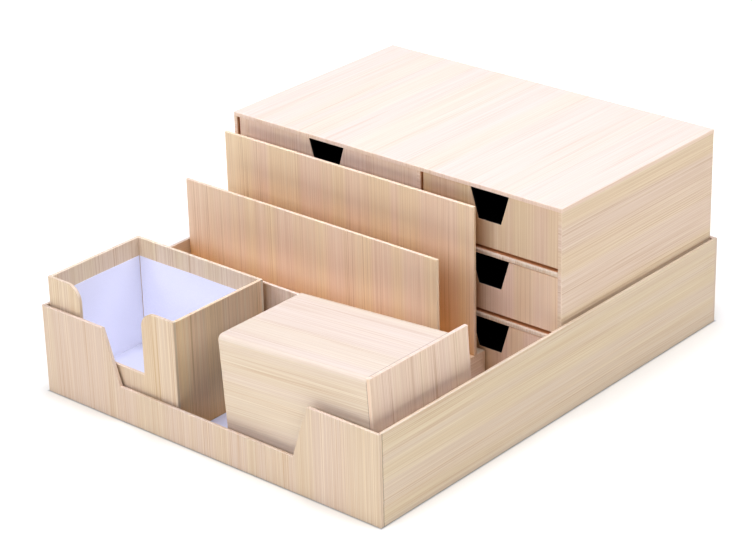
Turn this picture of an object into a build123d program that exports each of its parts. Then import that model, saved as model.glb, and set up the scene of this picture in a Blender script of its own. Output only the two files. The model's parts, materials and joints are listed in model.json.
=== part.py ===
from build123d import *
import os

# Desk organizer made of greyboard panels wrapped in wood-grain paper: an open tray that holds
# a cabinet of six drawers, a letter rack, a memo box and a pen cup that lies on its side.
# Millimetres. The origin is the centre of the tray's underside: X right, Y back, Z up.

# Board
board = 2.2              # a wrapped single board
frame_board = 2.8        # the cabinet's sides, top, back and partition
double_board = 3.8       # two thin boards glued together: the cabinet's shelves and floor
soft_edge = 0.5          # the rounding that wrapped paper gives an edge
gap = 0.4                # room between a loose insert and the walls beside it
rest_gap = 0.3           # between a loose insert and the tray floor, for its lining paper

# Tray
tray_width = 282.0
tray_depth = 347.4
tray_height = 61.3
tray_cut_top = 171.6     # the dip in the tray's front wall, width at the rim
tray_cut_bottom = 145.8
tray_cut_floor = 24.2    # height of the dip's lower edge

# Drawer cabinet
cabinet_width = 274.0
cabinet_front = 5.0      # y of the cabinet's front edges
cabinet_top = 138.7
partition_right = 25.6   # x of the partition's right face
drawer_recess = 1.7      # the drawer fronts stand this far behind the cabinet's front
side_play = 0.7          # between a drawer and the cabinet, each side
play_below = 0.3
front_lift = 1.4         # a drawer's front ends this far above the underside of its floor
play_above = 0.5
drawer_board = 1.8
pull_top = 30.6          # finger notch in a drawer front
pull_bottom = 17.9
pull_depth = 20.6

# Letter rack
rack_left = -137.6
rack_right = 77.5
rack_front = -83.6
rack_rear = 4.0
rack_deck_top = 25.4
low_panel_top = 74.8
middle_divider_front = -42.8
middle_divider_top = 105.7
tall_divider_left = -135.2
tall_divider_front = -6.4
tall_divider_top = 128.4
tall_divider_board = 2.4

# Memo box
memo_left = -137.4
memo_width = 111.6
memo_front = -169.9
memo_depth = 80.4
memo_top = 80.9
memo_cut_width = 55.2
memo_cut_floor = 37.0
memo_ear_radius = 11.0

# Pen cup, measured along its own axis from mouth to base
cup_length = 117.6
cup_depth = 77.2
cup_height = 80.0
cup_corner = 3.6
cup_left = 14.2
cup_front = -166.6
cup_tilt = 3.77          # degrees: the base plate's lower edge holds the right end up
plate_board = 2.6
plate_overhang = 12.6    # the base plate stands out this far behind the barrel
plate_drop = 7.7         # and this far below it

floor_top = board
tray_half = tray_width / 2
tray_rear_inside = tray_depth / 2 - board
cabinet_half = cabinet_width / 2
cabinet_rear = tray_rear_inside - gap
cabinet_foot = floor_top + rest_gap
bay_floor = cabinet_foot + double_board
bay_height = (cabinet_top - frame_board - bay_floor - 2 * double_board) / 3
bay_pitch = bay_height + double_board
rack_foot = floor_top + rest_gap
memo_foot = floor_top + rest_gap
cup_foot = floor_top + rest_gap

os.makedirs("parts", exist_ok=True)


def save(name, solid):
    export_step(solid, f"parts/{name}.step")


def panel(low, high):
    """A board between two opposite corners."""
    sizes = [b - a for a, b in zip(low, high)]
    return Pos(*low) * Box(*sizes, align=(Align.MIN, Align.MIN, Align.MIN))


def soften(solid, *picks, radius=soft_edge):
    """Rounds the edges along an axis that lie on the given planes, as (edge axis, {axis: place})."""
    chosen = []
    for along, places in picks:
        for edge in solid.edges().filter_by(along):
            middle = edge.center()
            if all(abs(getattr(middle, k) - v) < 0.01 for k, v in places.items()):
                chosen.append(edge)
    return fillet(chosen, radius)


def upright_panel(outline, front, thickness):
    """A board standing across the object, from its outline as (x, z) points."""
    face = make_face(Polyline(*[(x, front, z) for x, z in outline], close=True))
    return extrude(face, amount=thickness, dir=(0, 1, 0))


def notched_outline(left, right, bottom, top, centre, cut_top, cut_bottom, cut_floor):
    """A rectangle with a dip in its top edge that narrows downwards."""
    return [
        (left, bottom),
        (right, bottom),
        (right, top),
        (centre + cut_top / 2, top),
        (centre + cut_bottom / 2, cut_floor),
        (centre - cut_bottom / 2, cut_floor),
        (centre - cut_top / 2, top),
        (left, top),
    ]


# Tray: four walls around a floor, with a wide dip in the front wall
def build_tray():
    half_depth = tray_depth / 2
    inner = half_depth - board
    save("tray_floor", panel((-tray_half + board, -inner, 0), (tray_half - board, inner, floor_top)))
    front = upright_panel(
        notched_outline(-tray_half, tray_half, 0, tray_height, 0, tray_cut_top, tray_cut_bottom, tray_cut_floor),
        -half_depth,
        board,
    )
    front = soften(
        front,
        (Axis.Z, {"X": -tray_half, "Y": -half_depth}),
        (Axis.Z, {"X": tray_half, "Y": -half_depth}),
        *[(Axis.X, {"Y": y, "Z": z}) for y in (-half_depth, -inner) for z in (tray_height, tray_cut_floor)],
    )
    save("tray_front_wall", front)
    rear = panel((-tray_half, inner, 0), (tray_half, half_depth, tray_height))
    rear = soften(
        rear,
        (Axis.Z, {"X": -tray_half, "Y": half_depth}),
        (Axis.Z, {"X": tray_half, "Y": half_depth}),
        *[(Axis.X, {"Y": y, "Z": tray_height}) for y in (half_depth, inner)],
    )
    save("tray_rear_wall", rear)
    for name, outer in (("tray_left_wall", -tray_half), ("tray_right_wall", tray_half)):
        inside = outer + board if outer < 0 else outer - board
        wall = panel((min(outer, inside), -inner, 0), (max(outer, inside), inner, tray_height))
        wall = soften(wall, *[(Axis.Y, {"X": x, "Z": tray_height}) for x in (outer, inside)])
        save(name, wall)


# Cabinet: top over two sides, a back, a partition off the middle, and doubled shelves and floor
def build_cabinet():
    under_top = cabinet_top - frame_board
    inner = cabinet_half - frame_board
    back = cabinet_rear - frame_board
    top = panel((-cabinet_half, cabinet_front, under_top), (cabinet_half, cabinet_rear, cabinet_top))
    top = soften(
        top,
        (Axis.X, {"Y": cabinet_front, "Z": cabinet_top}),
        (Axis.X, {"Y": cabinet_rear, "Z": cabinet_top}),
        (Axis.Y, {"X": -cabinet_half, "Z": cabinet_top}),
        (Axis.Y, {"X": cabinet_half, "Z": cabinet_top}),
        (Axis.Z, {"X": -cabinet_half, "Y": cabinet_front}),
        (Axis.Z, {"X": cabinet_half, "Y": cabinet_front}),
    )
    save("cabinet_top", top)
    for name, outer in (("cabinet_left_side", -cabinet_half), ("cabinet_right_side", cabinet_half)):
        inside = outer + frame_board if outer < 0 else outer - frame_board
        side = panel(
            (min(outer, inside), cabinet_front, cabinet_foot),
            (max(outer, inside), cabinet_rear, under_top),
        )
        side = soften(
            side,
            (Axis.Z, {"X": outer, "Y": cabinet_front}),
            (Axis.Z, {"X": outer, "Y": cabinet_rear}),
        )
        save(name, side)
    save("cabinet_back", panel((-inner, back, cabinet_foot), (inner, cabinet_rear, under_top)))
    save("cabinet_floor", panel((-inner, cabinet_front, cabinet_foot), (inner, back, bay_floor)))
    partition_left = partition_right - frame_board
    save(
        "cabinet_partition",
        panel((partition_left, cabinet_front, bay_floor), (partition_right, back, under_top)),
    )
    for column, (left, right) in columns().items():
        for level, row in (("lower", 1), ("upper", 2)):
            bottom = bay_floor + row * bay_pitch - double_board
            shelf = panel((left, cabinet_front, bottom), (right, back, bottom + double_board))
            shelf = soften(
                shelf,
                *[(Axis.X, {"Y": cabinet_front, "Z": z}) for z in (bottom, bottom + double_board)],
                radius=3 * soft_edge,
            )
            save(f"{column}_{level}_shelf", shelf)


def columns():
    """The inside of each column of drawers, as its left and right x."""
    inner = cabinet_half - frame_board
    return {"left": (-inner, partition_right - frame_board), "right": (partition_right, inner)}


# Drawers: a notched front on an open box of four boards
def build_drawer(name, left, right, bay_bottom):
    left += side_play
    right -= side_play
    bottom = bay_bottom + play_below
    front_bottom = bottom + front_lift
    top = bay_bottom + bay_height - play_above
    front = cabinet_front + drawer_recess
    behind_front = front + board
    rear = cabinet_rear - frame_board - gap
    centre = (left + right) / 2
    panel_front = upright_panel(
        notched_outline(left, right, front_bottom, top, centre, pull_top, pull_bottom, top - pull_depth),
        front,
        board,
    )
    panel_front = soften(
        panel_front,
        *[(Axis.X, {"Y": front, "Z": z}) for z in (front_bottom, top, top - pull_depth)],
        (Axis.Z, {"X": left, "Y": front}),
        (Axis.Z, {"X": right, "Y": front}),
    )
    save(f"{name}_front", panel_front)
    save(f"{name}_floor", panel((left, behind_front, bottom), (right, rear, bottom + drawer_board)))
    above_floor = bottom + drawer_board
    save(
        f"{name}_left_wall",
        panel((left, behind_front, above_floor), (left + drawer_board, rear, top)),
    )
    save(
        f"{name}_right_wall",
        panel((right - drawer_board, behind_front, above_floor), (right, rear, top)),
    )
    save(
        f"{name}_rear_wall",
        panel((left + drawer_board, rear - drawer_board, above_floor), (right - drawer_board, rear, top)),
    )


def build_drawers():
    for column, (left, right) in columns().items():
        for row, level in enumerate(("bottom", "middle", "top")):
            build_drawer(f"{level}_{column}_drawer", left, right, bay_floor + row * bay_pitch)


# Letter rack: three dividers of rising height on a raised deck
def build_rack():
    under_deck = rack_deck_top - board
    inner_front = rack_front + board
    inner_rear = rack_rear - board
    save("rack_deck", panel((rack_left, inner_front, under_deck), (rack_right, rack_rear, rack_deck_top)))
    low_panel = panel((rack_left, rack_front, rack_foot), (rack_right, inner_front, low_panel_top))
    save("rack_low_panel", soften(low_panel, *[
        (Axis.X, {"Y": y, "Z": low_panel_top}) for y in (rack_front, inner_front)
    ]))
    for name, low, high in (
        ("rack_left_skirt", rack_left, rack_left + board),
        ("rack_right_skirt", rack_right - board, rack_right),
    ):
        save(name, panel((low, inner_front, rack_foot), (high, inner_rear, under_deck)))
    save("rack_rear_skirt", panel((rack_left, inner_rear, rack_foot), (rack_right, rack_rear, under_deck)))
    for name, left, front, thickness, top in (
        ("rack_middle_divider", rack_left, middle_divider_front, board, middle_divider_top),
        ("rack_tall_divider", tall_divider_left, tall_divider_front, tall_divider_board, tall_divider_top),
    ):
        divider = panel((left, front, rack_deck_top), (rack_right, front + thickness, top))
        divider = soften(
            divider,
            *[(Axis.X, {"Y": y, "Z": top}) for y in (front, front + thickness)],
            *[(Axis.Z, {"X": x, "Y": y}) for x in (left, rack_right) for y in (front, front + thickness)],
        )
        save(name, divider)


# Memo box: open at the top, with a cut in its front wall between two rounded ears
def build_memo_box():
    right = memo_left + memo_width
    rear = memo_front + memo_depth
    inner_front = memo_front + board
    inner_rear = rear - board
    middle = memo_left + memo_width / 2
    front = panel((memo_left, memo_front, memo_foot), (right, inner_front, memo_top))
    front -= panel(
        (middle - memo_cut_width / 2, memo_front, memo_cut_floor),
        (middle + memo_cut_width / 2, inner_front, memo_top),
    )
    ears = [
        edge
        for edge in front.edges().filter_by(Axis.Y)
        if abs(abs(edge.center().X - middle) - memo_cut_width / 2) < 0.01
        and abs(edge.center().Z - memo_top) < 0.01
    ]
    front = fillet(ears, memo_ear_radius)
    front = soften(
        front,
        (Axis.Z, {"X": memo_left, "Y": memo_front}),
        (Axis.Z, {"X": right, "Y": memo_front}),
        (Axis.X, {"Y": memo_front, "Z": memo_cut_floor}),
        (Axis.X, {"Y": inner_front, "Z": memo_cut_floor}),
    )
    save("memo_box_front_wall", front)
    back = panel((memo_left, inner_rear, memo_foot), (right, rear, memo_top))
    back = soften(
        back,
        (Axis.Z, {"X": memo_left, "Y": rear}),
        (Axis.Z, {"X": right, "Y": rear}),
        *[(Axis.X, {"Y": y, "Z": memo_top}) for y in (inner_rear, rear)],
    )
    save("memo_box_rear_wall", back)
    for name, outer, inside in (
        ("memo_box_left_wall", memo_left, memo_left + board),
        ("memo_box_right_wall", right, right - board),
    ):
        wall = panel((min(outer, inside), inner_front, memo_foot), (max(outer, inside), inner_rear, memo_top))
        save(name, soften(wall, *[(Axis.Y, {"X": x, "Z": memo_top}) for x in (outer, inside)]))
    save(
        "memo_box_floor",
        panel((memo_left + board, inner_front, memo_foot), (right - board, inner_rear, memo_foot + board)),
    )


# Pen cup: a wrapped barrel, open at the left, glued to a larger base plate at the right
def build_pen_cup():
    place = Pos(cup_left, cup_front, cup_foot) * Rot(0, -cup_tilt, 0)
    centre = (0, cup_depth / 2, cup_height / 2)
    across = Plane(origin=centre, x_dir=(0, 1, 0), z_dir=(1, 0, 0))
    outside = extrude(across * RectangleRounded(cup_depth, cup_height, cup_corner), amount=cup_length)
    inside = extrude(
        across * RectangleRounded(cup_depth - 2 * board, cup_height - 2 * board, cup_corner - board),
        amount=cup_length,
    )
    save("pen_cup_barrel", place * (outside - inside))
    plate = panel(
        (cup_length, 0, -plate_drop),
        (cup_length + plate_board, cup_depth + plate_overhang, cup_height),
    )
    plate = fillet(plate.edges().filter_by(Axis.X) + plate.faces().sort_by(Axis.X)[-1].edges(), soft_edge)
    save("pen_cup_base_plate", place * plate)


build_tray()
build_cabinet()
build_drawers()
build_rack()
build_memo_box()
build_pen_cup()
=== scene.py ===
import json
import math

import bmesh
import bpy
from mathutils import Matrix, Vector

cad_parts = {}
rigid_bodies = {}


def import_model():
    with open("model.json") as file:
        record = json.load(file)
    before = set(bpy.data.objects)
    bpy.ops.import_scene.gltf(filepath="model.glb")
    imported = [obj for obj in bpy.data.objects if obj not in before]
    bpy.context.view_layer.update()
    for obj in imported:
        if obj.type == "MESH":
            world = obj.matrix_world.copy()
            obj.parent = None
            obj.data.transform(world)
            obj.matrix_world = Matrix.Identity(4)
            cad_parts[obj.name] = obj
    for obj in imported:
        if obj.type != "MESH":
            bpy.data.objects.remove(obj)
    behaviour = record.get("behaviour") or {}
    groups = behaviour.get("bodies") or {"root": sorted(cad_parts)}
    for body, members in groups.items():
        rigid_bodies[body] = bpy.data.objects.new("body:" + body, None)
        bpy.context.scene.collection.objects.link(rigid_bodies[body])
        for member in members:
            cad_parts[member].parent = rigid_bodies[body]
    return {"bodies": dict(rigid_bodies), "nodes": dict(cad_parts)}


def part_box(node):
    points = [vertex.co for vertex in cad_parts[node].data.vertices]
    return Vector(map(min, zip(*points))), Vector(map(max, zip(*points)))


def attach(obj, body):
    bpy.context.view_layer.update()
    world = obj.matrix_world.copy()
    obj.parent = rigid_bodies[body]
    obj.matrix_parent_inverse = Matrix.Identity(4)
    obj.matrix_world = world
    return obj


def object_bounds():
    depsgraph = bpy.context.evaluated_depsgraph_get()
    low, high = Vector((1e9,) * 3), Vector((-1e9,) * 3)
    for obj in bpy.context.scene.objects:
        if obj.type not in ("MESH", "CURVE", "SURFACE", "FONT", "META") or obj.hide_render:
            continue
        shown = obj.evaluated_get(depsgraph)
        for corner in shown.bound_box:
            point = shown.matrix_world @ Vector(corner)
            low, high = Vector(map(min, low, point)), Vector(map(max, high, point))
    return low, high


# A desk organizer of greyboard wrapped in printed wood-grain paper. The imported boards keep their
# meshes and get the printed paper; the linings inside them are thin sheets made here.

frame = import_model()
cad_low, cad_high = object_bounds()

MM = 0.001
X, Y, Z = 0, 1, 2


# ---------------------------------------------------------------- colour and node helpers
def colour(hex_code):
    """A linear colour from a screen colour such as e2c7a0."""
    channels = [int(hex_code[i:i + 2], 16) / 255 for i in (0, 2, 4)]
    linear = [c / 12.92 if c <= 0.04045 else ((c + 0.055) / 1.055) ** 2.4 for c in channels]
    return (*linear, 1.0)


class Paper:
    """A material's nodes, built from short calls. A socket or a plain value can go in anywhere."""

    def __init__(self, name, roughness=0.55, specular=0.35):
        self.material = bpy.data.materials.new(name)
        self.material.use_nodes = True
        self.nodes = self.material.node_tree.nodes
        self.links = self.material.node_tree.links
        self.nodes.clear()
        self.shader = self.nodes.new("ShaderNodeBsdfPrincipled")
        self.shader.inputs["Roughness"].default_value = roughness
        self.shader.inputs["Specular IOR Level"].default_value = specular
        output = self.nodes.new("ShaderNodeOutputMaterial")
        self.links.new(self.shader.outputs["BSDF"], output.inputs["Surface"])

    def put(self, socket, value):
        if isinstance(value, bpy.types.NodeSocket):
            self.links.new(value, socket)
        else:
            socket.default_value = value

    def math(self, operation, *values):
        node = self.nodes.new("ShaderNodeMath")
        node.operation = operation
        for socket, value in zip(node.inputs, values):
            self.put(socket, value)
        return node.outputs[0]

    def add(self, first, *others):
        for other in others:
            first = self.math("ADD", first, other)
        return first

    def times(self, first, *others):
        for other in others:
            first = self.math("MULTIPLY", first, other)
        return first

    def one_less(self, value):
        return self.math("SUBTRACT", 1.0, value)

    def vector(self, x, y, z=0.0):
        node = self.nodes.new("ShaderNodeCombineXYZ")
        for socket, value in zip(node.inputs, (x, y, z)):
            self.put(socket, value)
        return node.outputs[0]

    def split(self, vector):
        node = self.nodes.new("ShaderNodeSeparateXYZ")
        self.put(node.inputs[0], vector)
        return list(node.outputs)

    def noise(self, vector, detail=2.0, roughness=0.5, dimensions="2D"):
        node = self.nodes.new("ShaderNodeTexNoise")
        node.noise_dimensions = dimensions
        self.put(node.inputs["Vector"], vector)
        node.inputs["Scale"].default_value = 1.0
        node.inputs["Detail"].default_value = detail
        node.inputs["Roughness"].default_value = roughness
        return node.outputs["Fac"]

    def cloud(self, place, per_metre, detail):
        """Even noise in space, with so many lumps to a metre."""
        scaled = self.vector(*[self.times(p, per_metre) for p in place])
        return self.noise(scaled, detail, dimensions="3D")

    def span(self, value, low, high, to_low=0.0, to_high=1.0):
        """Maps low..high to to_low..to_high with a smooth step, and holds the ends."""
        node = self.nodes.new("ShaderNodeMapRange")
        node.interpolation_type = "SMOOTHSTEP"
        for socket, number in zip(node.inputs, (value, low, high, to_low, to_high)):
            self.put(socket, number)
        return node.outputs[0]

    def mix(self, factor, first, second, kind="MIX"):
        node = self.nodes.new("ShaderNodeMix")
        node.data_type = "RGBA"
        node.blend_type = kind
        colours = [s for s in node.inputs if s.type == "RGBA"]
        self.put(node.inputs["Factor"], factor)
        self.put(colours[0], first)
        self.put(colours[1], second)
        return next(s for s in node.outputs if s.type == "RGBA")

    def position(self):
        return self.nodes.new("ShaderNodeTexCoord").outputs["Object"]

    def normal(self):
        return self.nodes.new("ShaderNodeNewGeometry").outputs["Normal"]

    def looks(self, normal, axis, sign):
        """1 on the faces that look along an axis, or against it where the sign is -1."""
        return self.span(self.times(normal[axis], sign), 0.4, 0.6)

    def openness(self, reach):
        """1 in the open, falling towards 0 in a narrow gap between boards."""
        node = self.nodes.new("ShaderNodeAmbientOcclusion")
        node.samples = 8
        node.inputs["Distance"].default_value = reach
        return node.outputs["AO"]

    def turned(self, vector, centre, angle):
        """The vector turned about Y by an angle, after its centre is taken off."""
        off = self.nodes.new("ShaderNodeVectorMath")
        off.operation = "SUBTRACT"
        self.put(off.inputs[0], vector)
        off.inputs[1].default_value = centre
        turn = self.nodes.new("ShaderNodeVectorRotate")
        turn.rotation_type = "Y_AXIS"
        self.put(turn.inputs["Vector"], off.outputs[0])
        turn.inputs["Angle"].default_value = angle
        return turn.outputs[0]

    def colour(self, value):
        self.put(self.shader.inputs["Base Color"], value)

    def bump(self, height, strength, distance):
        node = self.nodes.new("ShaderNodeBump")
        node.inputs["Strength"].default_value = strength
        node.inputs["Distance"].default_value = distance
        self.put(node.inputs["Height"], height)
        self.put(self.shader.inputs["Normal"], node.outputs["Normal"])


# ---------------------------------------------------------------- printed wood-grain paper
# The boards share one printed paper. Their tones differ partly as the print's own hue and partly as
# painted light and shade: some boards are set lighter or darker to match the light that falls on them.
TONES = {
    # name: (yellower band, pinker band)
    "beige": ("e8d6b4", "e7d5bb"),
    "tan": ("e1cdae", "e1ccb4"),
    "pink": ("f6dcb7", "f5dabf"),
    "yellow": ("e5cfab", "e3ceb0"),
    "straw": ("f3e0ba", "f1dcbd"),
    "honey": ("fddfaf", "fbdbb3"),
    "sand": ("ebd4ad", "eacfb1"),
    "pale": ("e9d8bb", "e9d7be"),
    "peach": ("f0dab7", "efd9c0"),
    "butter": ("f8e0b7", "f7dcbc"),
    "cream": ("f7dfc2", "f6dec5"),
}
LIGHT_STREAK = colour("fbebcb")
DARK_STREAK = colour("caa370")
WORN_EDGE_HIGHLIGHT = colour("f8e3c8")              # the rubbed edges of the boards, partly a painted highlight
GAP_SHADE_BROWN = colour("cd9360")            # painted shade: wood paper deep in a gap
SEAM = colour("8d6a4a")
BLACK = colour("040303")
WHITE_PAPER = colour("f4f3f8")
FLOOR_PAPER = colour("d8d6db")
UNDERSIDE_PAPER = colour("e4dccf")
GLOW = colour("e4e6ff")              # painted light: an even bluish glow like that of brightened paper

# The printed grain's layers: streaks to a metre across the grain, and along it
BANDS = (55, 1.2)
RIBBONS = (420, 3.0)
THREADS = (1750, 8.0)
LINES = (1350, 6.0)
GLEAMS = (1150, 5.0)
PATCHES = (120, 3.0)                 # where the stronger lines lie
SWAY = (24, 7)
SWAY_WIDTH = 1.0 * MM                # how far the streaks sway from side to side

CALM = 0.8                           # the grain's strength on boards with a quieter print
CABINET_TOP_GRAIN = 0.6
CUP_GRAIN = 0.75


def streaks(paper, across, along, tone, strength):
    """The printed grain: broad bands of two hues, ribbons two or three millimetres wide, fine threads
    about half a millimetre apart, and a few stronger dark and light lines. Gives the tint and the threads,
    which also carry the paper's relief."""
    yellower, pinker = [colour(c) for c in TONES[tone]]
    sway = paper.noise(paper.vector(paper.times(across, SWAY[0]), paper.times(along, SWAY[1])), 1)
    across = paper.add(across, paper.times(paper.math("SUBTRACT", sway, 0.5), SWAY_WIDTH))

    def layer(per_metre, shift, detail=1.0):
        place = paper.vector(
            paper.add(paper.times(across, per_metre[0]), shift),
            paper.add(paper.times(along, per_metre[1]), shift * 1.7),
        )
        return paper.noise(place, detail)

    bands = layer(BANDS, 3.1)
    ribbons = layer(RIBBONS, 11.7)
    threads = layer(THREADS, 23.9, 2.0)
    lines = layer(LINES, 41.3)
    gleams = layer(GLEAMS, 57.7)
    patches = layer(PATCHES, 71.1)
    tint = paper.mix(paper.span(bands, 0.36, 0.64), yellower, pinker)
    tint = paper.mix(paper.span(ribbons, 0.35, 0.70, 0.0, 0.03 * strength), tint, DARK_STREAK)
    tint = paper.mix(paper.span(threads, 0.38, 0.62, 0.0, 0.25 * strength), tint, DARK_STREAK)
    tint = paper.mix(paper.span(gleams, 0.56, 0.72, 0.0, 0.32 * strength), tint, LIGHT_STREAK)
    depth = paper.span(patches, 0.40, 0.62, 0.08 * strength, 0.48 * strength)
    strong = paper.times(paper.span(lines, 0.59, 0.66), depth)
    tint = paper.mix(strong, tint, DARK_STREAK)
    return tint, threads


# Painted shade: a board is tinted darker and browner where neighbours close in, most in the narrowest
# gaps, as ambient occlusion finds them.
GAP_REACH = 45 * MM      # how near a neighbour begins to shade a board
GAP_SHADE_TINT = (0.80, 0.54, 0.16, 1.0)
GAP_SHADE = 0.8          # how much of that tint the narrowest gap takes


def wood_paper(name, tone, grain, wide, middle=0.0, seed=0.0, inside=None, local=None,
               strength=1.0, wear_and_highlight=1.0, shade=0.0):
    """Wood-grain paper on one board. The grain runs along one axis and its streaks lie side by side along
    the wide axis; round an edge they run on over the board's thickness, and middle is the middle of that
    thickness. local is a (centre, angle) of the board's own turned frame. inside(paper, place, normal)
    lists what else shows there: how far a spot is covered, and by which colour."""
    paper = Paper(name)
    position, direction = paper.position(), paper.normal()
    if local:
        centre, angle = local
        position = paper.turned(position, centre, angle)
        direction = paper.turned(direction, (0, 0, 0), angle)
    place = paper.split(position)
    normal = paper.split(direction)
    facing = [paper.math("ABSOLUTE", n) for n in normal]
    thick = 3 - grain - wide
    end = paper.span(facing[grain], 0.5, 0.9)
    depth = paper.add(paper.times(place[thick], paper.one_less(end)), paper.times(end, middle))
    across = paper.add(place[wide], depth, seed)
    tint, threads = streaks(paper, across, place[grain], tone, strength)

    # Partly wear and partly a painted highlight: the rounded edges are lightened, unevenly.
    flat = paper.math("MAXIMUM", paper.math("MAXIMUM", facing[X], facing[Y]), facing[Z])
    edge = paper.span(flat, 0.90, 0.995, 1.0, 0.0)
    rubbed_highlight = paper.span(paper.cloud(place, 90, 2), 0.30, 0.62, 0.10 * wear_and_highlight, 0.40 * wear_and_highlight)
    tint = paper.mix(paper.times(edge, rubbed_highlight), tint, WORN_EDGE_HIGHLIGHT)
    # painted gap shade, multiplied into the tint
    if shade:
        painted_gap_shade = paper.span(paper.openness(GAP_REACH), 0.20, 0.80, shade, 0.0)
        tint = paper.mix(painted_gap_shade, tint, GAP_SHADE_TINT, "MULTIPLY")
    if inside:
        for covered, other in inside(paper, place, normal):
            tint = paper.mix(covered, tint, other)
    paper.colour(tint)

    relief = paper.add(paper.times(threads, 0.6), paper.times(paper.cloud(place, 2600, 2), 0.4))
    paper.bump(relief, 0.22, 0.3 * MM)
    paper.put(paper.shader.inputs["Roughness"], paper.span(threads, 0.3, 0.7, 0.50, 0.62))
    return paper.material


def plain_paper(name, base, roughness=0.7, fibre=0.06, painted_glow=0.0, front_edge=None):
    """Uncoated lining paper: a flat colour broken by faint fibres and a soft cockle. The glow is painted
    light, an even bluish glow like that of brightened white office paper; front_edge is the colour of a
    face that looks forward."""
    paper = Paper(name, roughness, 0.3)
    paper.shader.inputs["Emission Color"].default_value = GLOW
    paper.shader.inputs["Emission Strength"].default_value = painted_glow
    place = paper.split(paper.position())
    fibres = paper.cloud(place, 1400, 3)
    cockle = paper.cloud(place, 22, 1)
    shade = tuple(c * (1 - 2.2 * fibre) for c in base[:3]) + (1.0,)
    tint = paper.mix(paper.span(fibres, 0.3, 0.7), base, shade)
    tint = paper.mix(paper.span(cockle, 0.35, 0.65, 0.0, 0.25), tint, shade)
    if front_edge:
        tint = paper.mix(paper.looks(paper.split(paper.normal()), Y, -1), tint, front_edge)
    paper.colour(tint)
    paper.bump(paper.add(paper.times(fibres, 0.3), paper.times(cockle, 4.0)), 0.25, 0.4 * MM)
    return paper.material


def dress(node, material):
    """Gives a CAD node one material in every slot that it has."""
    for place in frame["nodes"][node].material_slots:
        place.material = material


def middle_of(node, axis):
    low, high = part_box(node)
    return (low[axis] + high[axis]) / 2


def dress_in_wood(node, tone, grain, wide, seed, **more):
    """Wraps a board in wood paper. The seed moves the print along, so no two boards look the same."""
    thick = 3 - grain - wide
    dress(node, wood_paper(f"{node}_paper", tone, grain, wide, middle_of(node, thick), seed, **more))


# ---------------------------------------------------------------- tray
SEAM_BEHIND = 2.7 * MM   # from the tray's front face back to the seam


def corner_seam(paper, place, normal):
    """The joint between two sheets, just round the front corners: a fine uneven dark line."""
    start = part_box("tray_front_wall")[0].y + SEAM_BEHIND
    sway = paper.math("SUBTRACT", paper.noise(paper.vector(paper.times(place[Z], 140), 3.0), 2), 0.5)
    off = paper.add(place[Y], paper.times(sway, -1.1 * MM), -start)
    line = paper.span(paper.math("ABSOLUTE", off), 0.10 * MM, 0.42 * MM, 0.65, 0.0)
    return [(paper.times(line, paper.span(paper.math("ABSOLUTE", normal[X]), 0.4, 0.8)), SEAM)]


def dress_tray():
    # Painted light and shade: the front and rear walls take the darker tan tone and the side walls the
    # beige one, to match the light on each.
    for node, seed in (("tray_front_wall", 0.11), ("tray_rear_wall", 1.37)):
        dress_in_wood(node, "tan", Z, X, seed, inside=corner_seam)
    for node, seed in (("tray_left_wall", 2.71), ("tray_right_wall", 3.19)):
        dress_in_wood(node, "beige", Y, Z, seed, inside=corner_seam, strength=CALM)
    dress("tray_floor", plain_paper("tray_underside_paper", UNDERSIDE_PAPER))


# ---------------------------------------------------------------- drawer cabinet and drawers
TURN_IN = 9 * MM         # wood paper turned in behind the cabinet's front edges
RECESS = 1.7 * MM        # the drawer fronts stand this far behind the cabinet's front edges
SOFT = 0.3 * MM          # how quickly one paper gives way to another at a cut edge


def behind_front(*faces):
    """The lining inside the cabinet. Past the drawer fronts the wood paper is painted a deep brown shade,
    and past its turned-in edge the lining is black. faces are the directions that the lined faces look in,
    as (axis, sign)."""
    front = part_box("cabinet_top")[0].y

    def cover(paper, place, normal):
        towards = [paper.looks(normal, axis, sign) for axis, sign in faces]
        lined = towards[0]
        for more in towards[1:]:
            lined = paper.math("MAXIMUM", lined, more)
        shade = paper.times(paper.span(place[Y], front + 0.25 * RECESS, front + 0.9 * RECESS), lined)
        black = paper.times(paper.span(place[Y], front + TURN_IN, front + TURN_IN + SOFT), lined)
        return [(shade, GAP_SHADE_BROWN), (black, BLACK)]

    return cover


def lined_back(node):
    """Black lining paper on a drawer front's back, and over the cut edge of its finger notch."""
    low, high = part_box(node)
    rim = 0.7 * MM           # the front's own edges keep their wood paper

    def cover(paper, place, normal):
        back = paper.looks(normal, Y, 1)
        notch = paper.times(
            paper.span(place[Y], low.y + 0.35 * MM, low.y + 0.55 * MM),
            paper.span(place[X], low.x + rim, low.x + 1.5 * rim),
            paper.span(place[X], high.x - 1.5 * rim, high.x - rim, 1.0, 0.0),
            paper.span(place[Z], low.z + rim, low.z + 1.5 * rim),
            paper.span(place[Z], high.z - 1.5 * rim, high.z - rim, 1.0, 0.0),
        )
        return [(paper.math("MAXIMUM", back, notch), BLACK)]

    return cover


def lined_inside(paper, place, normal):
    """Black lining on the face that looks forward."""
    return [(paper.looks(normal, Y, -1), BLACK)]


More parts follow.
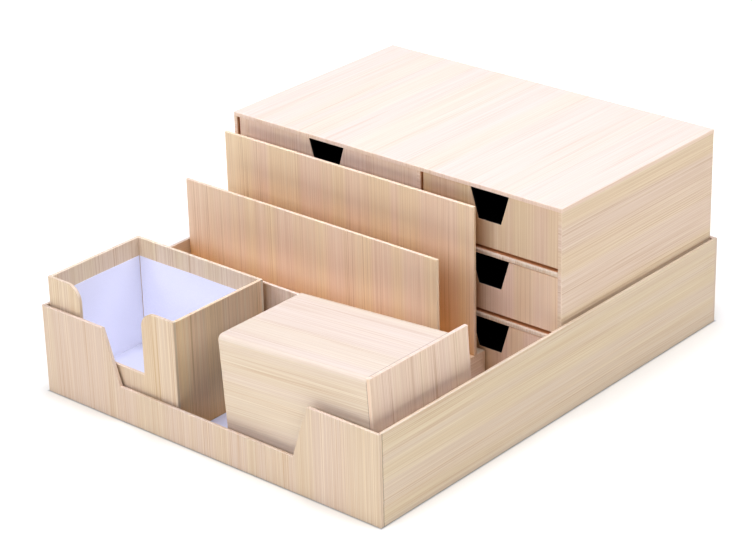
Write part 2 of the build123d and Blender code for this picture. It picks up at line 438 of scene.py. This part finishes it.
def dress_cabinet():
    # Painted light and shade: the top, the right side and the shelves take lighter or darker tones than
    # the other boards, to match the light on each.
    dress_in_wood("cabinet_top", "cream", Y, X, 4.43, inside=behind_front((Z, -1)),
                  strength=CABINET_TOP_GRAIN)
    dress_in_wood("cabinet_left_side", "pink", Y, Z, 5.03, inside=behind_front((X, 1)))
    dress_in_wood("cabinet_right_side", "peach", Y, Z, 5.71, inside=behind_front((X, -1)))
    dress_in_wood("cabinet_back", "pink", Z, X, 6.29, inside=lined_inside)
    dress_in_wood("cabinet_partition", "pink", Y, Z, 6.97, inside=behind_front((X, 1), (X, -1)))
    dress_in_wood("cabinet_floor", "pink", Y, X, 7.13, inside=behind_front((Z, 1)))
    shelves = ("left_lower_shelf", "left_upper_shelf", "right_lower_shelf", "right_upper_shelf")
    for i, node in enumerate(shelves):
        dress_in_wood(node, "pale", Y, X, 7.57 + 0.41 * i, inside=behind_front((Z, 1), (Z, -1)))


def dress_drawers():
    """The top two fronts take other tones than the rest, painted lighter or darker to match the light on
    them.
    The right column's fronts, which the letter rack's tall divider shades, also get painted gap shade."""
    black = plain_paper("drawer_lining_paper", BLACK, roughness=0.62, fibre=0.10)
    # Painted shade: the drawer floor's forward face takes the brown of wood paper deep in a gap.
    shaded = plain_paper("drawer_floor_paper", BLACK, roughness=0.62, fibre=0.10, front_edge=GAP_SHADE_BROWN)
    drawers = [name for name in frame["bodies"] if name.endswith("_drawer")]
    for i, drawer in enumerate(drawers):
        tone = {"top_right_drawer": "sand", "top_left_drawer": "cream"}.get(drawer, "pink")
        # Painted shade: the right column's fronts darken where the tall divider stands close.
        shade = 0.5 * GAP_SHADE if "right" in drawer else 0.0
        dress_in_wood(f"{drawer}_front", tone, Z, X, 9.31 + 0.53 * i,
                      inside=lined_back(f"{drawer}_front"), strength=CALM, shade=shade)
        dress(f"{drawer}_floor", shaded)
        for part in ("left_wall", "right_wall", "rear_wall"):
            dress(f"{drawer}_{part}", black)


# ---------------------------------------------------------------- letter rack
def dress_rack():
    # Painted light and shade: the low panel and the dividers take paler tones than the other boards, and
    # the dividers take painted gap shade as well.
    dress_in_wood("rack_low_panel", "cream", Z, X, 12.73)
    dress_in_wood("rack_middle_divider", "butter", Z, X, 13.39, strength=CALM, shade=GAP_SHADE)
    dress_in_wood("rack_tall_divider", "butter", Z, X, 14.17, strength=CALM, shade=GAP_SHADE)
    dress_in_wood("rack_deck", "pink", X, Y, 14.89)
    dress_in_wood("rack_left_skirt", "pink", Y, Z, 15.23)
    dress_in_wood("rack_right_skirt", "pink", Y, Z, 15.61)
    dress_in_wood("rack_rear_skirt", "pink", Z, X, 16.07)


# ---------------------------------------------------------------- memo box
def dress_memo_box():
    seed = 17.3          # one sheet wraps the four walls, so its streaks run on round the corners
    # Painted light and shade: the walls take different tones to match the light on each, and the right
    # wall takes painted gap shade.
    for wall, tone, wide, shade in (
        ("front", "yellow", X, 0.0),
        ("rear", "straw", X, 0.0),
        ("left", "straw", Y, 0.0),
        ("right", "honey", Y, GAP_SHADE),
    ):
        dress_in_wood(f"memo_box_{wall}_wall", tone, Z, wide, seed, shade=shade)
    dress("memo_box_floor", plain_paper("memo_box_underside_paper", UNDERSIDE_PAPER))


# ---------------------------------------------------------------- pen cup
CUP_TILT = math.radians(3.77)
CUP_HEIGHT = 80 * MM
CUP_DEPTH = 77.2 * MM
CUP_LENGTH = 117.6 * MM      # the barrel's, without the base plate
CUP_TURN_IN = 12 * MM
BOARD = 2.2 * MM


def cup_frame():
    """The cup's own frame: its origin, and the turn that takes the shared frame into it."""
    low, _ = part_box("pen_cup_barrel")
    return Vector((low.x + CUP_HEIGHT * math.sin(CUP_TILT), low.y, low.z)), CUP_TILT


def cup_lining(paper, place, normal):
    """Black lining paper inside the barrel, past the wood paper turned in at its mouth, and the crease
    where the barrel meets its base plate."""
    half, blur = BOARD / 2, 0.1 * MM
    inside = paper.span(place[X], CUP_TURN_IN, CUP_TURN_IN + SOFT)
    for axis, size in ((Y, CUP_DEPTH), (Z, CUP_HEIGHT)):
        inside = paper.times(
            inside,
            paper.span(place[axis], half - blur, half + blur),
            paper.span(place[axis], size - half - blur, size - half + blur, 1.0, 0.0),
        )
    inside = paper.times(inside, paper.one_less(paper.looks(normal, X, 1)))
    crease = paper.span(place[X], CUP_LENGTH - 0.6 * MM, CUP_LENGTH - 0.1 * MM, 0.0, 0.7)
    return [(crease, SEAM), (inside, BLACK)]


def plate_lining(paper, place, normal):
    """Black lining paper on the base plate's inner face, within the barrel."""
    half, blur = BOARD / 2, 0.2 * MM
    inside = paper.looks(normal, X, -1)
    for axis, size in ((Y, CUP_DEPTH), (Z, CUP_HEIGHT)):
        inside = paper.times(
            inside,
            paper.span(place[axis], half, half + blur),
            paper.span(place[axis], size - half - blur, size - half, 1.0, 0.0),
        )
    return [(inside, BLACK)]


def dress_pen_cup():
    local = cup_frame()
    # Painted light: the base plate takes a paler tone than the barrel to match the light on it.
    barrel = wood_paper("pen_cup_barrel_paper", "pale", X, Y, seed=18.9, inside=cup_lining, local=local,
                        strength=CUP_GRAIN, wear_and_highlight=0.1)
    dress("pen_cup_barrel", barrel)
    plate = wood_paper("pen_cup_base_plate_paper", "cream", Z, Y, seed=19.7, inside=plate_lining,
                       local=local)
    dress("pen_cup_base_plate", plate)


# ---------------------------------------------------------------- lining sheets
SHEET = 0.2 * MM         # the lining papers' thickness
CLEAR = 0.03 * MM        # between a sheet and the board behind it


def sheet(name, body, material, outline, origin, along, up):
    """A thin sheet from its outline in the plane of along and up. It stands CLEAR off that plane, on
    the side that up x along looks to."""
    along, up = Vector(along), Vector(up)
    out = up.cross(along)
    mesh = bpy.data.meshes.new(name)
    shape = bmesh.new()
    base = Vector(origin) + out * CLEAR
    back, front = [
        [shape.verts.new(base + along * s + up * t + out * depth) for s, t in outline]
        for depth in (0.0, SHEET)
    ]
    shape.faces.new(back)
    shape.faces.new(front)
    for i in range(len(outline)):
        shape.faces.new((back[i - 1], back[i], front[i], front[i - 1]))
    bmesh.ops.recalc_face_normals(shape, faces=shape.faces)
    shape.to_mesh(mesh)
    shape.free()
    piece = bpy.data.objects.new(name, mesh)
    bpy.context.scene.collection.objects.link(piece)
    mesh.materials.append(material)
    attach(piece, body)
    return piece


def cut_edge(start, end, level, sway=0.25 * MM, step=6 * MM, phase=0.0):
    """Points along a sheet's hand-cut edge, from start to end, that stray a little from a level."""
    count = max(2, round(abs(end - start) / step))
    points = []
    for i in range(count + 1):
        s = start + (end - start) * i / count
        drift = math.sin(s * 41 + phase) + 0.6 * math.sin(s * 127 + 2.3 * phase)
        points.append((s, level + sway * drift / 1.6))
    return points


def wall_sheet(width, height, phase, shy=0.5 * MM):
    """A wall's lining, a little shy of the corners."""
    return [(shy, 0), (width - shy, 0)] + cut_edge(width - shy, shy, height, phase=phase)


def line_walls(body, band, dip, phases, material, floor_material):
    """Floor and wall sheets of an open box. The wall sheets end below a band of turned-in wood paper. The
    front one dips clear of the cut in its wall: dip is the half width of that dip at the band and at its
    bottom, and the bottom's height. phases set the wander of the rear, left, right and front edges."""
    low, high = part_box(f"{body}_floor")
    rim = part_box(f"{body}_left_wall")[1].z
    width, depth = high.x - low.x, high.y - low.y
    floor = high.z
    height = rim - band - floor - SHEET
    foot = floor + CLEAR + SHEET
    walls = {
        "rear": ((high.x, high.y, foot), (-1, 0, 0), width),
        "left": ((low.x, high.y, foot), (0, -1, 0), depth),
        "right": ((high.x, low.y, foot), (0, 1, 0), depth),
    }
    for (wall, (origin, along, length)), phase in zip(walls.items(), phases):
        outline = wall_sheet(length, height, phase)
        sheet(f"{body}_{wall}_lining", body, material, outline, origin, along, (0, 0, 1))
    half_at_band, half_at_bottom, bottom = dip
    middle = width / 2
    front = [(0, 0), (width, 0)]
    front += cut_edge(width, middle + half_at_band, height, phase=phases[3])
    front += [(middle + half_at_bottom, bottom - foot), (middle - half_at_bottom, bottom - foot)]
    front += cut_edge(middle - half_at_band, 0, height, phase=phases[4])
    sheet(f"{body}_front_lining", body, material, front,
          (low.x, low.y, foot), (1, 0, 0), (0, 0, 1))
    sheet(f"{body}_floor_lining", body, floor_material,
          [(0, 0), (depth, 0), (depth, width), (0, width)], (low.x, low.y, floor), (0, 1, 0), (1, 0, 0))


MEMO_BAND = 13 * MM          # wood paper turned in over the memo box's rim
MEMO_CUT_HALF = 27.6 * MM    # half the width of the cut in its front wall
MEMO_CUT_FLOOR = 37 * MM     # and that cut's height above the table
TRAY_BAND = 32 * MM
TRAY_DIP_HALF = 72.9 * MM    # half the width of the tray's dip, at its bottom
TRAY_DIP_FLOOR = 24.2 * MM


def line_boxes(material, floor_material):
    memo_half = MEMO_CUT_HALF + BOARD
    memo_dip = (memo_half, memo_half, MEMO_CUT_FLOOR - 3 * MM)
    line_walls("memo_box", MEMO_BAND, memo_dip, (0.0, 1.3, 2.6, 4.1, 5.2), material, floor_material)
    tray_dip = (TRAY_DIP_HALF + 24 * MM, TRAY_DIP_HALF + 8 * MM, TRAY_DIP_FLOOR - 8 * MM)
    line_walls("tray", TRAY_BAND, tray_dip, (0.7, 1.8, 2.9, 2.9, 3.7), material, floor_material)


# ---------------------------------------------------------------- floor, lights and camera
TABLE_TINTS = ((0.82, 0.78, 0.64, 1), (0.84, 0.80, 0.66, 1))
CONTACT_SHADOW_TINT = (0.10, 0.10, 0.10, 1)
CONTACT_REACH = 1.8 * MM     # how far the painted contact shadow under the tray's edge reaches


def add_floor():
    """A white table top with a painted contact shadow round the tray, lit evenly further out like the wide
    pale sweep of a studio.
    """
    mesh = bpy.data.meshes.new("floor")
    half = 4.0
    below = -0.2 * MM
    corners = [(-half, -half, below), (half, -half, below), (half, half, below), (-half, half, below)]
    mesh.from_pydata(corners, [], [(0, 1, 2, 3)])
    floor = bpy.data.objects.new("floor", mesh)
    bpy.context.scene.collection.objects.link(floor)
    paper = Paper("floor_white", 0.9, 0.1)
    place = paper.split(paper.position())
    tint = paper.mix(paper.cloud(place, 900, 2), *TABLE_TINTS)
    across, along = [paper.math("ABSOLUTE", place[axis]) for axis in (X, Y)]
    gap = paper.math(
        "MAXIMUM",
        paper.math("SUBTRACT", across, cad_high.x),
        paper.math("SUBTRACT", along, cad_high.y),
    )
    # Painted shadow: the floor darkens in a thin line along the tray's footprint.
    contact_shadow = paper.span(gap, -1 * MM, CONTACT_REACH, 0.75, 0.0)
    paper.colour(paper.mix(contact_shadow, tint, CONTACT_SHADOW_TINT))
    away = paper.math("SQRT", paper.add(paper.times(place[X], place[X]), paper.times(place[Y], place[Y])))
    paper.shader.inputs["Emission Color"].default_value = (1, 1, 1, 1)
    glow = paper.times(paper.span(away, 0.16, 0.38, 0.13, 0.32), paper.one_less(contact_shadow))
    paper.put(paper.shader.inputs["Emission Strength"], glow)
    mesh.materials.append(paper.material)


AIM = Vector((0, 0, 0.07))
LIGHT_COLOUR = (0.94, 0.99, 1.24)
WORLD_STRENGTH = 0.06
SOFTBOXES = (
    # name, place, side in metres, watts
    ("top_light", (0.0, 0.0, 2.6), 0.8, 38),
    ("wide_top_light", (0.0, 0.0, 1.6), 2.0, 7),
    ("front_left_light", (-1.12, -2.72, 1.85), 1.6, 37),
    ("front_light", (1.2, -2.8, 1.85), 1.6, 31),
    ("right_light", (2.3, 0.9, 2.2), 1.6, 33),
    ("rear_light", (-1.3, 1.6, 0.9), 1.0, 4),
)


def add_softbox(name, place, size, power):
    """A square area light, aimed at the middle of the object."""
    light = bpy.data.lights.new(name, "AREA")
    light.shape = "SQUARE"
    light.size = size
    light.energy = power
    light.color = LIGHT_COLOUR
    lamp = bpy.data.objects.new(name, light)
    bpy.context.scene.collection.objects.link(lamp)
    lamp.location = place
    lamp.rotation_mode = "QUATERNION"
    lamp.rotation_quaternion = (AIM - Vector(place)).to_track_quat("-Z", "Y")


def add_lights():
    world = bpy.data.worlds.new("studio")
    bpy.context.scene.world = world
    world.use_nodes = True
    background = world.node_tree.nodes["Background"]
    background.inputs["Color"].default_value = (*LIGHT_COLOUR, 1.0)
    background.inputs["Strength"].default_value = WORLD_STRENGTH
    for softbox in SOFTBOXES:
        add_softbox(*softbox)


CAMERA_PLACE = Vector((0.9486, -1.0980, 0.7299))
CAMERA_AZIMUTH = math.radians(41.11)
CAMERA_ELEVATION = math.radians(24.91)
CAMERA_ROLL = math.radians(-1.52)
CAMERA_LENS = 117.52


def add_camera():
    a, e, r = CAMERA_AZIMUTH, CAMERA_ELEVATION, CAMERA_ROLL
    back = Vector((math.sin(a) * math.cos(e), -math.cos(a) * math.cos(e), math.sin(e)))
    right = (-back).cross(Vector((0, 0, 1))).normalized()
    up = back.cross(right)
    level = Matrix((right, up, back)).transposed()
    data = bpy.data.cameras.new("camera")
    data.sensor_width = 36
    data.lens = CAMERA_LENS
    camera = bpy.data.objects.new("camera", data)
    bpy.context.scene.collection.objects.link(camera)
    turn = level @ Matrix.Rotation(r, 3, "Z")
    camera.matrix_world = Matrix.Translation(CAMERA_PLACE) @ turn.to_4x4()
    bpy.context.scene.camera = camera


# ---------------------------------------------------------------- the whole scene
dress_tray()
dress_cabinet()
dress_drawers()
dress_rack()
dress_memo_box()
dress_pen_cup()
# One lining paper in two copies: the walls' sheet is paler and glows with painted light, and the floor's
# is darker as painted shade.
lining = plain_paper("white_lining_paper", WHITE_PAPER, fibre=0.02, painted_glow=0.08)
floor_lining = plain_paper("floor_lining_paper", FLOOR_PAPER, fibre=0.02)
line_boxes(lining, floor_lining)
add_floor()
add_lights()
add_camera()
bpy.context.scene.view_settings.view_transform = "Standard"
bpy.context.scene.view_settings.gamma = 0.85
